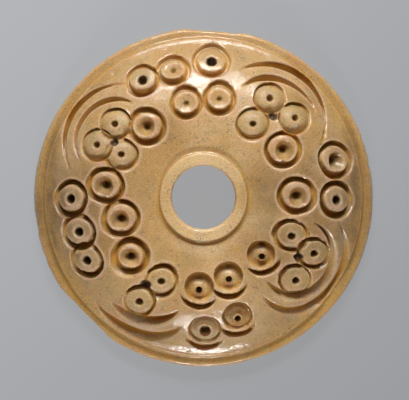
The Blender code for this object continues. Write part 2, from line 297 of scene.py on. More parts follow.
def upper_profile():
    """The turned outline from the lip of the bore to the top of the edge, with no overhang."""
    lip = BORE_RADIUS + BORE_CHAMFER
    points = [(BORE_RADIUS, COLLAR_TOP - BORE_CHAMFER), (lip, COLLAR_TOP)]
    points += arc(COLLAR_RADIUS - COLLAR_ROUND, COLLAR_TOP - COLLAR_ROUND, COLLAR_ROUND, 90, 40, 6)
    for across in np.linspace(0, 1, 12):
        rise = MOAT_DEPTH * (1 - math.cos(math.pi * across)) / 2
        points.append((MOAT_START + MOAT_WIDTH * across, MOAT_FLOOR + rise))
    for radius in np.linspace(CROWN_EDGE, FOOT_RADIUS, 60):
        points.append((radius, bare_height(radius)))
    points.append((FOOT_RADIUS + FOOT_STEP / 4, FLANGE_THICKNESS))
    edge_top = FLANGE_THICKNESS - FLANGE_FALL
    points += arc(DISC_RADIUS - EDGE_ROUND, edge_top - EDGE_ROUND, EDGE_ROUND, 90, 2, 5)
    return np.array(points)


PROFILE = upper_profile()
PROFILE_U = BORE_RADIUS + np.append(0, np.cumsum(np.hypot(*np.diff(PROFILE, axis=0).T)))


def profile_tilts():
    """The outward lean of the surface at each profile point, in radians."""
    steps = np.diff(PROFILE, axis=0)
    leans = np.arctan2(-steps[:, 1], steps[:, 0])
    return np.concatenate([leans[:1], (leans[1:] + leans[:-1]) / 2, leans[-1:]])


PROFILE_TILT = profile_tilts()


def on_surface(flat):
    """Points of the bare turned surface, from their places in the flat layout."""
    theta = np.arctan2(flat[:, 1], flat[:, 0])
    radius, height = (np.interp(np.hypot(*flat.T), PROFILE_U, column) for column in PROFILE.T)
    return np.stack([radius * np.cos(theta), radius * np.sin(theta), height], axis=-1)


def height_at(radius):
    return np.interp(radius, PROFILE[:, 0], PROFILE[:, 1])


def surface_normals(points):
    radius = off_axis(points)
    tilt = np.interp(radius, PROFILE[:, 0], PROFILE_TILT)
    out = points[..., :2] / np.maximum(radius, 1e-9)[..., None]
    return np.concatenate([out * np.sin(tilt)[..., None], np.cos(tilt)[..., None]], axis=-1)


def flatten(points):
    """The flat layout that the triangles are made in: distance along the profile, at the same angle."""
    radius = off_axis(points)
    u = np.interp(radius, PROFILE[:, 0], PROFILE_U)
    return points[..., :2] / np.maximum(radius, 1e-9)[..., None] * u[..., None]


def drop_to_surface(points, axis):
    """Moves points along an axis onto the bare surface."""
    for _ in range(7):
        radius = off_axis(points)
        gap = points[:, 2] - height_at(radius)
        normals = surface_normals(points)
        points = points - axis * (gap * normals[:, 2] / np.maximum(normals @ axis, 0.3))[:, None]
    return points


def dome_place(share, degrees, lean=1.0):
    """The surface point there, and three directions: a drill's axis that leans outward by a share of the
    dome's tilt, outward across it, and round the whorl."""
    bearing = math.radians(degrees)
    radius = share * DISC_RADIUS
    out = np.array([math.cos(bearing), math.sin(bearing), 0])
    tilt = lean * np.interp(radius, PROFILE[:, 0], PROFILE_TILT)
    axis = out * math.sin(tilt) + np.array([0, 0, math.cos(tilt)])
    around = np.array([-math.sin(bearing), math.cos(bearing), 0])
    return out * radius + np.array([0, 0, height_at(radius)]), axis, np.cross(around, axis), around


def sunk(above, tool):
    """How deep a tool's surface lies in the stone, in metres, with the corner between them rounded. The
    heights over the tool's plane are the stone's in metres and the tool's as a share."""
    stone = above / DISC_RADIUS * (1 - FOLLOW)
    near = np.maximum(EDGE_SOFTNESS - np.abs(stone - tool), 0) / EDGE_SOFTNESS
    lower = np.minimum(stone, tool) - near**2 * EDGE_SOFTNESS / 4
    return (stone - lower) * DISC_RADIUS


def blend(values, uphill, downhill):
    """Goes from the middle value at the sides to the first one uphill and the last one downhill."""
    first, middle, last = values
    return middle + (first - middle) * uphill + (last - middle) * downhill


class Tool:
    """What is sunk into the stone at one place, along its axis."""

    def wobble(self, turn):
        return np.ones(len(turn))

    def points(self):
        """The mesh points that the cut needs, ring by ring."""
        found = []
        for ring in self.rings():
            radius = ring * DISC_RADIUS
            count = max(1, round(math.tau * radius / CARVED_SPACING))
            turn = math.tau * np.arange(count) / count
            reach = radius * self.wobble(turn)
            sides = np.cos(turn)[:, None] * self.along + np.sin(turn)[:, None] * self.around
            found.append(drop_to_surface(self.place + reach[:, None] * sides, self.axis))
        return np.concatenate(found)


class Drill(Tool):
    """A ring drill with its centre bit."""

    DULL_KINDS = ("disc", "button", "dot", "cup")
    # Lidded circles have a size of their own, and their heights and dirt are laid out for size 1
    size = 1

    def __init__(self, share, degrees, outer, boss, lean, kind):
        self.place, self.axis, self.along, self.around = dome_place(share, degrees, lean)
        sway = RANDOM.normal(0, DRILL_SWAY, 2)
        self.axis = self.axis + sway[0] * self.along + sway[1] * self.around
        self.axis /= np.linalg.norm(self.axis)
        self.phases = RANDOM.uniform(0, math.tau, 3)
        self.outer, self.boss, self.kind = outer, boss, kind
        self.mouth, self.drawn, self.foot, self.pit, self.pit_depth = FACES[kind][:5]
        self.drop, self.inset, self.pit_dark, self.gloss = FACES[kind][5:]
        outward = self.place[:2] / np.linalg.norm(self.place[:2])
        drawn_to = outward + np.array([0, -MOUTHS_DOWN])
        self.drawn_to = math.atan2(drawn_to[1], drawn_to[0])

    def rings(self):
        """Radii that deserve a ring of points of their own, the crisp edges first."""
        mouth, pit = self.mouth, self.pit
        width = self.outer - self.boss
        keys = [self.outer, self.boss, self.boss + 0.2 * width, self.boss + 0.42 * width]
        keys += [self.boss + 0.7 * width, mouth, pit, self.outer + 0.006, self.boss - 0.006]
        inner = list(np.arange(pit - 0.006, 0.003, -0.006))
        between = list(np.arange(mouth - 0.007, pit + 0.004, -0.007))
        return keys + inner + between + [0.0]

    def wobble(self, turn):
        """The radius at each turn, a little out of round, for a radius of 1."""
        one, two, five = self.phases
        slow, quick = OUT_OF_ROUND
        waves = slow * (np.sin(turn + one) + np.sin(2 * turn + two))
        return 1 + waves + quick * np.sin(5 * turn + five)

    def face_height(self, share, view, boss):
        """The height of the boss's face, with its pit and funnel, over the drill's own plane."""
        mouth = self.mouth + self.drawn * np.cos(view - self.drawn_to)
        mouth = np.minimum(mouth, boss - 0.002)
        in_mouth = np.clip((mouth - share) / (mouth - self.pit), 0, 1)
        to_rim = np.clip((share - mouth) / np.maximum(boss - mouth, 0.004), 0, 1)
        height = -self.foot * in_mouth**1.15 - self.drop * to_rim**2
        pit_radii = (0, self.pit * 0.5, self.pit * 0.85, self.pit)
        pit_heights = (-self.pit_depth, -self.pit_depth * 0.92, -self.foot - 0.006, -self.foot)
        in_pit = np.interp(share, pit_radii, pit_heights)
        return np.where(share < self.pit, in_pit, height) - self.inset

    def tool_height(self, along, around, share, turn, view):
        """The height of the drilled surface over the drill's own plane."""
        width_parts, depths = GROOVES[self.kind]
        downhill = np.maximum(np.cos(turn), 0) ** 1.5
        uphill = np.maximum(-np.cos(turn), 0) ** 1.5
        boss = self.boss * (1 + BOSS_WIDER * np.cos(2 * view)) + BOSS_UP * np.sin(view)
        width = (self.outer - self.boss) * blend(width_parts, uphill, downhill) + self.boss - boss
        depth = blend(depths, uphill, downhill)
        into = (share - boss) / width
        radii, section = GROOVE_SECTION
        groove = np.interp(into, radii, section)
        drawn_out = np.interp(into / (1 + 0.4 * downhill), radii, DOWNHILL_SECTION)
        groove = groove + (drawn_out - groove) * downhill
        rim = -self.drop - self.inset
        groove = -groove * np.maximum(depth, -rim + 0.004)
        groove = np.where(into < 0.30, np.minimum(groove, rim), groove)
        return np.where(share <= boss, self.face_height(share, view, boss), groove)

    def painted_shade(self, along, around, share, view):
        """Painted shade under the groove's upper wall, under the boss's lower edge and in a funnel's upper
        side, where the shadows fall.
        """
        into = (share - self.boss) / (self.outer - self.boss)
        upper, lower = np.maximum(np.sin(view), 0), np.maximum(-np.sin(view), 0)
        under_wall = upper * band(into, *WALL_PAINTED_SHADE)
        under_boss = lower * band(into, *BOSS_PAINTED_SHADE)
        in_funnel = upper * np.interp(share, (self.pit, self.mouth * 0.7, self.mouth), (0.9, 0.6, 0))
        return np.maximum(np.maximum(under_wall, under_boss), in_funnel * (self.kind == "funnel"))

    def cut(self, points):
        """How deep it cuts at each surface point, in metres, the share from its axis, and the painted shade.
        """
        offset = points - self.place
        above = offset @ self.axis
        flat = offset - above[:, None] * self.axis
        turn = np.arctan2(flat @ self.around, flat @ self.along)
        view = np.arctan2(offset[:, 1], offset[:, 0])
        share = np.linalg.norm(flat, axis=1) / self.wobble(turn) / DISC_RADIUS
        spot = share * np.cos(turn) / self.size, share * np.sin(turn) / self.size, share / self.size
        cut = sunk(above, self.tool_height(*spot, turn, view))
        cut[share > DRILL_REACH] = 0
        return cut, share, self.painted_shade(*spot, view)

    def mark(self, points, share, marks):
        """Its face can be dull and lack gloss, and its pit is painted dark, a painted shade."""
        on_face = np.clip((self.boss + 0.01 - share) / 0.01, 0, 1)
        if self.kind in self.DULL_KINDS:
            marks["disc"] = np.maximum(marks["disc"], on_face)
        ragged = share * (1 + 0.14 * lattice_noise(points, 0.0004, 51))
        in_pit = np.clip((self.pit + 0.001 - ragged) / 0.006, 0, 1)
        marks["pit"] = np.maximum(marks["pit"], self.pit_dark * in_pit)
        marks["gloss"] = np.where(on_face > 0.5, np.minimum(marks["gloss"], self.gloss), marks["gloss"])


def within(circle, along, around):
    """How far inside a lidded drill's circle each place is."""
    centre, radius = circle[:2]
    return radius - np.hypot(along - centre, around)


class LiddedDrill(Drill):
    """A drill sunk upright into the slope: a hollow with a cone in it, closed on one side by a lid that
    stands over a cut below it."""

    def __init__(self, share, degrees, size, lid_degrees, lean, kind):
        outer, boss = LIDDED_RING
        super().__init__(share, degrees, outer * size, boss * size, lean, kind)
        lid = math.radians(lid_degrees)
        toward = np.array([math.cos(lid), math.sin(lid), 0])
        self.along = toward - (toward @ self.axis) * self.axis
        self.along /= np.linalg.norm(self.along)
        self.around = np.cross(self.axis, self.along)
        self.size = size

    def points(self):
        found = [super().points()]
        turn = np.arange(0, math.tau, CARVED_SPACING / 0.08 / DISC_RADIUS)
        for centre, radius in (LIDDED_HOLLOW, LIDDED_LID, LIDDED_CUT[:2]):
            for step in (0.0, 0.007, -0.006):
                reach = (radius + step) * self.size
                down = centre * self.size + reach * np.cos(turn)
                aside = reach * np.sin(turn)
                near = np.hypot(down, aside) < 0.125 * self.size
                spots = down[near, None] * self.along + aside[near, None] * self.around
                found.insert(0, drop_to_surface(self.place + spots * DISC_RADIUS, self.axis))
        return np.concatenate(found)

    def tool_height(self, along, around, share, turn, view):
        into_hollow = within(LIDDED_HOLLOW, along, around)
        before_lid = within(LIDDED_LID, along, around)
        into_cut = within(LIDDED_CUT, along, around)
        pit, top = self.pit, -self.foot
        wall = np.interp(into_hollow, (-0.02, 0.0, 0.006, 0.012), (0.06, 0.0, -0.9, -1.0))
        hollow = np.where(wall > 0, wall, wall * LIDDED_DEPTH)
        floor = -np.interp(before_lid, (0.0, 0.028), (0.004, LIDDED_DEPTH))
        flank, fallen = LIDDED_CONE
        radii = (0, pit * 0.8, pit, *(pit + step for step in flank))
        heights = [-self.pit_depth, -self.pit_depth * 0.9, top]
        heights += [top - part * (LIDDED_DEPTH + top) for part in fallen]
        cone = np.interp(share, radii, heights)
        inside = np.where(share < pit, cone, np.maximum(hollow, np.maximum(floor, cone)))
        past_lid = -before_lid
        room = np.maximum(into_cut + past_lid, 1e-6)
        across = past_lid / room
        depth = LIDDED_CUT[2] * np.clip(room / 0.030, 0, 1)
        below = -np.interp(across, (0.0, 0.12, 0.60, 1.0), (0.0, 1.0, 0.80, 0.0)) * depth
        below = np.where(into_cut > 0, below, 0.06)
        return np.where(before_lid > 0, inside, below)

    def painted_shade(self, along, around, share, view):
        """Painted shade under the hollow's upper wall, fanning out below the cone, and under the lid, where
        the shadows fall.
        """
        upper, lower = np.maximum(np.sin(view), 0), np.maximum(-np.sin(view), 0)
        into_hollow = within(LIDDED_HOLLOW, along, around)
        under_wall = upper**0.5 * np.interp(into_hollow, *HOLLOW_PAINTED_SHADE)
        past_lid = -within(LIDDED_LID, along, around)
        under_lid = lower**0.5 * np.interp(past_lid, *LID_PAINTED_SHADE)
        fan = lower**2 * np.interp(share, *FAN_PAINTED_SHADE) * (self.kind == "lidded")
        return np.clip(np.maximum(np.maximum(under_wall, under_lid), fan), 0, 1)


class CornerPit(Tool):
    """A ragged pointed pit between the discs of a corner."""

    def __init__(self, share, degrees, mouth):
        self.place, self.axis, self.along, self.around = dome_place(share, degrees)
        self.mouth = mouth

    def rings(self):
        return (self.mouth, self.mouth * 1.3, self.mouth * 0.7, self.mouth * 0.4, 0.0)

    def cut(self, points):
        """Depth in metres, the share from its axis, and no painted shade of its own, as the pit is painted
        dark all over.
        """
        offset = points - self.place
        above = offset @ self.axis
        share = np.linalg.norm(offset - above[:, None] * self.axis, axis=1) / DISC_RADIUS
        share = share * (1 + 0.25 * lattice_noise(points, 0.0006, 31))
        radii = (0, self.mouth * 0.5, self.mouth, self.mouth * 2)
        tool = np.interp(share, radii, (-0.06, -0.045, 0, 0.06))
        return sunk(above, tool), share, np.zeros(len(points))

    def mark(self, points, share, marks):
        in_pit = np.clip((self.mouth - share) / 0.010, 0, 1)
        marks["pit"] = np.maximum(marks["pit"], CORNER_PIT_DARKNESS * in_pit)


class Crescent:
    """A groove along part of an oval, steep on one side and pointed at both ends."""

    SAMPLES = 200
    # It cuts along the stone's own normals
    axis = None

    def __init__(self, share, degrees, along, across, start, end, half_width, depth, peak, steep):
        self.steep = steep
        bearing = math.radians(degrees)
        out = np.array([math.cos(bearing), math.sin(bearing)])
        side = np.array([-out[1], out[0]])
        t = np.linspace(0, 1, self.SAMPLES)
        angle = np.radians(start + (end - start) * t)
        plan = (share + along * np.cos(angle))[:, None] * out + (across * np.sin(angle))[:, None] * side
        radius = np.linalg.norm(plan, axis=1) * DISC_RADIUS
        self.line = np.column_stack([plan * DISC_RADIUS, height_at(radius)])
        tangent = np.gradient(self.line, axis=0)
        tangent /= np.linalg.norm(tangent, axis=1)[:, None]
        self.outward = np.cross(tangent, surface_normals(self.line))
        swell = np.sin(math.pi * t ** (math.log(0.5) / math.log(peak))) ** 0.7
        self.half_width = half_width * DISC_RADIUS * np.maximum(swell, 0.12)
        self.depth = depth * DISC_RADIUS * np.sin(math.pi * t) ** 0.6

    def points(self):
        length = np.linalg.norm(np.diff(self.line, axis=0), axis=1).sum()
        picks = np.linspace(0, self.SAMPLES - 1, int(length / CARVED_SPACING)).round().astype(int)
        found = []
        for across in (0.0, -1.0, 1.0, -0.55, 0.5, -1.4, 1.5):
            found.append(self.line[picks] + across * self.half_width[picks, None] * self.outward[picks])
        return np.concatenate(found)

    def cut(self, points):
        """Depth in metres, how far across the groove, from -1 inside to 1 outside, and the painted shade near
        its steep wall.
        """
        depth = np.zeros(len(points))
        across = np.full(len(points), 9.0)
        reach = 3 * self.half_width.max()
        middle = (self.line.max(axis=0) + self.line.min(axis=0)) / 2
        spread = np.ptp(self.line, axis=0) / 2
        near = np.flatnonzero((np.abs(points - middle) < spread + reach).all(axis=1))
        gaps = np.linalg.norm(points[near, None] - self.line[None], axis=2)
        nearest = gaps.argmin(axis=1)
        offset = ((points[near] - self.line[nearest]) * self.outward[nearest]).sum(axis=1)
        along = np.sqrt(np.maximum(gaps.min(axis=1) ** 2 - offset**2, 0))
        x = offset / self.half_width[nearest]
        shape = np.interp(-x * self.steep, *CRESCENT_SECTION)
        past_end = np.clip(1 - along / self.half_width[nearest], 0, 1)
        depth[near] = self.depth[nearest] * shape * past_end
        across[near] = x
        return depth, across, band(across * self.steep, *CRESCENT_PAINTED_SHADE)

    def mark(self, points, across, marks):
        """A crescent has no face and no pit."""


def is_crowded(grid, column, row, x, y, gap):
    """Whether a point in this cell of the grid or one next to it is closer than the gap."""
    for key in itertools.product((column - 1, column, column + 1), (row - 1, row, row + 1)):
        for px, py in grid.get(key, ()):
            if (px - x) ** 2 + (py - y) ** 2 < gap * gap:
                return True
    return False


def thin_out(candidates):
    """Keeps each point that has no kept point closer than its own gap, in the order given."""
    cell = CARVED_SPACING * 1.5
    kept = []
    grid = {}
    for groups, gap in candidates:
        for x, y in np.concatenate(groups).tolist():
            column, row = int(x // cell), int(y // cell)
            if not is_crowded(grid, column, row, x, y, gap):
                grid.setdefault((column, row), []).append((x, y))
                kept.append((x, y))
    return np.array(kept)


def circle_points(radius, count):
    turn = math.tau * np.arange(count) / count
    return np.column_stack([radius * np.cos(turn), radius * np.sin(turn)])


def triangulate(points, rings):
    """Triangles of a ring-shaped area. The rings give the first index and the count of each border."""
    edges = []
    for first, count in rings:
        edges += [(first + i, first + (i + 1) % count) for i in range(count)]
    result = delaunay_2d_cdt([Vector(p) for p in points], edges, [], 0, 1e-9, True)
    faces = np.array(result[2])
    source = np.array([ids[0] for ids in result[3]])
    faces = source[faces]
    first, count = rings[-1]
    inside = ((faces >= first) & (faces < first + count)).all(axis=1)
    return faces[~inside]


def sharp_rings():
    """Rings of points along the turned edges."""
    rings = []
    for radius, count in (
        (BORE_RADIUS + BORE_CHAMFER, BORE_SEGMENTS),
        (COLLAR_RADIUS - COLLAR_ROUND, 230),
        (COLLAR_RADIUS - COLLAR_ROUND * 0.3, 230),
        (COLLAR_RADIUS + COLLAR_WALL_RUN * 0.35, 240),
        (MOAT_START, 240),
        (FOOT_RADIUS, RIM_SEGMENTS),
        (FOOT_RADIUS + FOOT_STEP / 4, RIM_SEGMENTS),
        (DISC_RADIUS - EDGE_ROUND, RIM_SEGMENTS),
        (DISC_RADIUS - EDGE_ROUND * 0.4, RIM_SEGMENTS),
    ):
        rings.append(circle_points(np.interp(radius, PROFILE[:, 0], PROFILE_U), count))
    return np.concatenate(rings)


def open_lattice():
    """A lattice of slightly shifted points over the whole upper side."""
    reach = PROFILE_U[-1]
    rows = []
    for row in range(int(2 * reach / (OPEN_SPACING * TRIANGLE_ROW)) + 1):
        x = np.arange(-reach, reach, OPEN_SPACING) + (row % 2) * OPEN_SPACING / 2
        y = -reach + row * OPEN_SPACING * TRIANGLE_ROW
        rows.append(np.column_stack([x, np.full(len(x), y)]))
    lattice = np.concatenate(rows)
    lattice += RANDOM.normal(0, 0.08 * OPEN_SPACING, lattice.shape)
    radius = np.hypot(*lattice.T)
    margin = 0.4 * OPEN_SPACING
    return lattice[(radius > PROFILE_U[0] + margin) & (radius < reach - margin)]


def upper_points(tools):
    """The layout of the upper side's points: the two borders, then the carving, then the open stone."""
    borders = [circle_points(PROFILE_U[-1], RIM_SEGMENTS), circle_points(PROFILE_U[0], BORE_SEGMENTS)]
    carving = [sharp_rings()] + [flatten(tool.points()) for tool in tools]
    return thin_out(((borders, 0.0), (carving, CARVED_LEAST_GAP), ([open_lattice()], OPEN_LEAST_GAP)))


def collar_painted_shadow(points):
    """Painted shadow against the foot of the collar, on its lower side in the picture, where the collar's
    shadow falls.
    """
    radius = off_axis(points)
    below = np.maximum(-points[:, 1], 0) / radius
    return below * np.interp(radius - COLLAR_RADIUS, (0, 0.00008, 0.0005, 0.0007), (0, 0.8, 0.6, 0))


def carve(points, tools):
    """Pushes the surface down wherever a tool cuts deepest. Returns the new points and the marks on them:
    the dull faces, the pits painted dark, the gloss and the painted shade."""
    count = len(points)
    marks = {"disc": np.zeros(count), "pit": np.zeros(count), "gloss": np.ones(count)}
    marks["painted_shade"] = collar_painted_shadow(points)
    deepest = np.zeros(count)
    push = np.zeros_like(points)
    normals = surface_normals(points)
    for tool in tools:
        depth, share, painted_shade = tool.cut(points)
        axis = normals if tool.axis is None else tool.axis
        wins = depth > deepest
        deepest[wins] = depth[wins]
        marks["painted_shade"][wins] = (painted_shade * np.clip(depth / FULL_SHADE_DEPTH, 0, 1))[wins]
        push[wins] = (-depth[:, None] * axis)[wins]
        tool.mark(points, share, marks)
    marks["gloss"] = marks["gloss"] * (1 - 0.85 * marks["painted_shade"])
    return points + push, marks


def peaks(points, height, size, seed, start):
    """Bumps where the noise is over a level."""
    return height * np.clip(lattice_noise(points, size, seed) - start, 0, 1)


def roughen(points, normals):
    """Hand wear: soft lumps, fine tooth and small dents. It only takes stone away."""
    worn = WEAR_LEAST + peaks(points, *DENTS)
    for height, size, seed in WEAR_NOISES:
        worn += height * lattice_noise(points, size, seed)
    return points - normals * worn[:, None]


def edge_radius(theta):
    """The radius of the worn outline at each angle: two flats, a few nicks and a slow wander."""
    limit = np.full(len(theta), DISC_RADIUS)
    for degrees, depth in EDGE_FLATS:
        away = (theta - math.radians(degrees) + math.pi) % math.tau - math.pi
        flat = DISC_RADIUS * (1 - depth) / np.maximum(np.cos(away), 0.5)
        limit = np.minimum(limit, flat)
    around = np.column_stack([np.cos(theta), np.sin(theta), np.zeros(len(theta))]) * DISC_RADIUS
    height, size, seed = EDGE_WANDER
    wander = height * (1 + lattice_noise(around, size, seed))
    return limit - wander - peaks(around, *EDGE_NICKS)


def wear_edge(points):
    """Draws the flange in to the worn outline, its inner part not at all."""
    radius = off_axis(points)
    theta = np.arctan2(points[:, 1], points[:, 0])
    start = FOOT_RADIUS + FOOT_STEP
    into = np.clip((radius - start) / (DISC_RADIUS - start), 0, None)
    new_radius = np.where(into > 0, start + into * (edge_radius(theta) - start), radius)
    scaled = points.copy()
    scaled[:, :2] *= (new_radius / np.maximum(radius, 1e-9))[:, None]
    return scaled


def strip(lower, upper):
    """Faces between two rows of vertex numbers of the same length that run all the way round."""
    return list(zip(lower, np.roll(lower, -1), np.roll(upper, -1), upper))


def vertex_normals(points, faces):
    a, b, c = points[faces.T]
    sides = np.cross(b - a, c - a)
    normals = np.zeros_like(points)
    for corner in range(3):
        np.add.at(normals, faces[:, corner], sides)
    return normals / np.maximum(np.linalg.norm(normals, axis=1), 1e-20)[:, None]


def neighbour_mean(values, faces):
    """The mean of each vertex's neighbours."""
    total = np.zeros_like(values)
    count = np.zeros(len(values))
    for a, b in ((0, 1), (1, 2), (2, 0)):
        for one, other in ((faces[:, a], faces[:, b]), (faces[:, b], faces[:, a])):
            np.add.at(total, one, values[other])
            np.add.at(count, one, 1)
    return total / count[:, None]


def hollowness(points, faces):
    """How far each point lies below the smoothed surface, in metres."""
    smooth = points
    for _ in range(HOLLOW_ROUNDS):
        smooth = 0.5 * smooth + 0.5 * neighbour_mean(smooth, faces)
    return ((smooth - points) * vertex_normals(points, faces)).sum(axis=1)


def add_object(name, data):
    made = bpy.data.objects.new(name, data)
    bpy.context.scene.collection.objects.link(made)
    return made


def build_whorl():
    """The whorl's mesh: the carved upper side, then the edge, the underside and the bore's wall."""
    drills = {"lidded": LiddedDrill, "cup": LiddedDrill}
    tools = [drills.get(circle[-1], Drill)(*circle) for circle in CIRCLES]
    tools += [CornerPit(*pit) for pit in CORNER_PITS]
    tools += [Crescent(*crescent) for crescent in CRESCENTS]
    flat = upper_points(tools)
    faces = triangulate(flat, ((0, RIM_SEGMENTS), (RIM_SEGMENTS, BORE_SEGMENTS)))
    points, marks = carve(on_surface(flat), tools)
    points = roughen(points, vertex_normals(points, faces))
    points = wear_edge(points)
    marks["hollow"] = hollowness(points, faces) / HOLLOW_UNIT

    extra_points, extra_faces = lower_side(len(points))
    all_points = np.concatenate([points, extra_points])
    mesh = bpy.data.meshes.new("whorl_stone")
    mesh.from_pydata(all_points.tolist(), [], faces.tolist() + extra_faces)
    mesh.shade_smooth()
    for name, values in marks.items():
        add_values(mesh, name, np.append(values, np.zeros(len(extra_points))))
    add_values(mesh, "collar", collar_tone_and_highlight(all_points))
    add_values(mesh, "stain_and_shade", stains_and_side_shade(all_points))
    add_values(mesh, "edge", edge_share(all_points))
    return add_object("whorl_stone", mesh)


def stains_and_side_shade(points):
    """How brown the stone is: streaks that run round it at the two sides, and a few dark places. The
    darkening of the left and right sides and of the foot there is painted shade, where less light falls,
    mixed with real stains.
    """
    radius = off_axis(points)
    streak_space = np.column_stack([points[:, 0] * 0.08, points[:, 1] * 0.08, radius])
    streaks = 0.5 + 0.5 * lattice_noise(streak_space, 0.0005, 41)
    across, up = points[:, 0] / DISC_RADIUS, points[:, 1] / DISC_RADIUS
    level = band(up, -0.08, 0.34, 1.5)
    inside_edge = np.clip((0.985 - radius / DISC_RADIUS) / 0.03, 0, 1)
    foot = np.clip((np.abs(across) - 0.80) / 0.08, 0, 1) * inside_edge
    stain_and_shade = 0.60 * level * np.clip((np.abs(across) - 0.32) / 0.30, 0, 1)
    stain_and_shade = np.maximum(stain_and_shade, foot * (0.60 + 0.40 * streaks))
    for x, y, reach, strength in STAINS_AND_SHADE:
        stain_and_shade = np.maximum(stain_and_shade, strength * band(np.hypot(across - x, up - y), 0, reach, 1.3))
    return np.clip(stain_and_shade, 0, 1)


def collar_tone_and_highlight(points):
    """Where the paler collar is, palest at its top and bottom in the picture as a painted highlight where the
    lights fall, fading to the right and left, where it is also more stained.
    """
    radius = off_axis(points)
    upright = np.abs(points[:, 1]) / np.maximum(radius, 1e-9)
    near = np.clip((MOAT_START - radius) / (0.5 * COLLAR_WALL_RUN), 0, 1) * (radius > BORE_RADIUS * 0.99)
    return near * (points[:, 2] > FLANGE_THICKNESS) * (0.15 + 0.85 * upright)


def edge_share(points):
    """Where the more amber flare and flange are."""
    return np.clip((off_axis(points) / DISC_RADIUS - 0.88) / 0.06, 0, 1)


def add_values(mesh, name, values):
    attribute = mesh.attributes.new(name, "FLOAT", "POINT")
    attribute.data.foreach_set("value", values.astype(np.float32))


def add_rings(points, faces, row, outline, first, facing_out):
    """Adds rings of points down an outline, each joined to the row above. Returns the last row's numbers."""
    for radius, height in outline:
        ring = np.column_stack([circle_points(radius, len(row)), np.full(len(row), height)])
        following = first + len(points) + np.arange(len(row))
        points += wear_edge(ring).tolist()
        faces += strip(following, row) if facing_out else strip(row, following)
        row = following
    return row


def underside_lattice():
    """A lattice of points on the underside, between its worn edge and the bore."""
    columns = np.arange(-DISC_RADIUS, DISC_RADIUS, UNDERSIDE_SPACING)
    x, y = np.meshgrid(columns, columns * TRIANGLE_ROW)
    x = x + (np.arange(len(x)) % 2)[:, None] * UNDERSIDE_SPACING / 2
    lattice = np.column_stack([x.ravel(), y.ravel()])
    radius = np.hypot(*lattice.T)
    margin = UNDERSIDE_SPACING * 0.6
    limit = edge_radius(np.arctan2(lattice[:, 1], lattice[:, 0])) - UNDERSIDE_ROUND - margin
    return lattice[(radius < limit) & (radius > BORE_RADIUS + BORE_CHAMFER + margin)]


def lower_side(first):
    """The edge, the wall of the bore and the underside, joined to the two borders of the upper side, whose
    points come first. Vertex numbers start at the one given."""
    points = []
    faces = []
    edge_top = FLANGE_THICKNESS - FLANGE_FALL - EDGE_ROUND
    outline = [(DISC_RADIUS, edge_top * 0.75), (DISC_RADIUS, edge_top * 0.45)]
    outline += arc(DISC_RADIUS - UNDERSIDE_ROUND, UNDERSIDE_ROUND, UNDERSIDE_ROUND, 0, -90, 4)
    rim = add_rings(points, faces, np.arange(RIM_SEGMENTS), outline, first, True)
    heights = np.linspace(COLLAR_TOP - BORE_CHAMFER, BORE_CHAMFER, 9)[1:]
    outline = [(BORE_RADIUS, height) for height in heights] + [(BORE_RADIUS + BORE_CHAMFER, 0.0)]
    lip = add_rings(points, faces, RIM_SEGMENTS + np.arange(BORE_SEGMENTS), outline, first, False)

    borders = np.array(points)[np.concatenate([rim, lip]) - first]
    lattice = underside_lattice()
    layout = np.concatenate([borders[:, :2], lattice])
    triangles = triangulate(layout, ((0, RIM_SEGMENTS), (RIM_SEGMENTS, BORE_SEGMENTS)))
    numbers = np.concatenate([rim, lip, first + len(points) + np.arange(len(lattice))])
    points += np.column_stack([lattice, np.zeros(len(lattice))]).tolist()
    faces += numbers[triangles][:, ::-1].tolist()
    return np.array(points), faces


# The stone's colours
DEEP_HONEY = (0.58, 0.345, 0.118, 1)
PALE_HONEY = (0.71, 0.465, 0.215, 1)
ORANGE_CLOUD = (0.66, 0.36, 0.09, 1)
OLIVE_CLOUD = (0.46, 0.32, 0.13, 1)
DULL_FACE = (0.55, 0.40, 0.175, 1)
# Paler collar, its own tone with a painted highlight at its top and bottom
PALE_COLLAR_AND_HIGHLIGHT = (0.82, 0.595, 0.31, 1)
AMBER_EDGE = (0.58, 0.325, 0.072, 1)
# Brown of the stains, and of the painted shade on the darker sides and foot
BROWN_STAIN_AND_SHADE = (0.25, 0.145, 0.055, 1)
DARK_SPECK = (0.20, 0.14, 0.09, 1)
PALE_SPECK = (0.84, 0.68, 0.48, 1)
# Orange painted shade in the hollows, for the glow of shadowed translucent stone
ORANGE_PAINTED_SHADE = (0.62, 0.30, 0.035, 1)
# Paler ridges: partly wear, partly painted highlight
RIDGE_WEAR_AND_HIGHLIGHT = (0.80, 0.58, 0.42, 1)
# Painted shade where the carving's shadows fall
GROOVE_PAINTED_SHADE = (0.26, 0.095, 0.006, 1)
# Painted shade in the pits
PIT_PAINTED_SHADE = (0.07, 0.030, 0.010, 1)
# Its patterns: the scale, detail, roughness and distortion of each noise
BROAD = (110, 4, 0.6, 0.4)
CLOUD = (320, 5, 0.65, 0.3)
BLOTCH = (600, 4, 0.7, 0.2)
SPECK = (3400, 2, 0.65, 0)
PALE = (4300, 2, 0.6, 0)
GRAIN = (6500, 2, 0.6, 0)
# Light of each colour travels as far in the stone as the subsurface radius times its scale
STONE_SHADER = {
    "IOR": 1.5,
    "Coat Roughness": 0.11,
    "Coat IOR": 1.55,
    "Subsurface Weight": 0.7,
    "Subsurface Radius": (1.0, 0.35, 0.08),
    "Subsurface Scale": 0.0010,
}
# How high the grain stands, and by how much of that the stone and its polish follow it
GRAIN_HEIGHT = 0.00006
GRAIN_FOLLOWED = {"Normal": 0.9, "Coat Normal": 0.42}


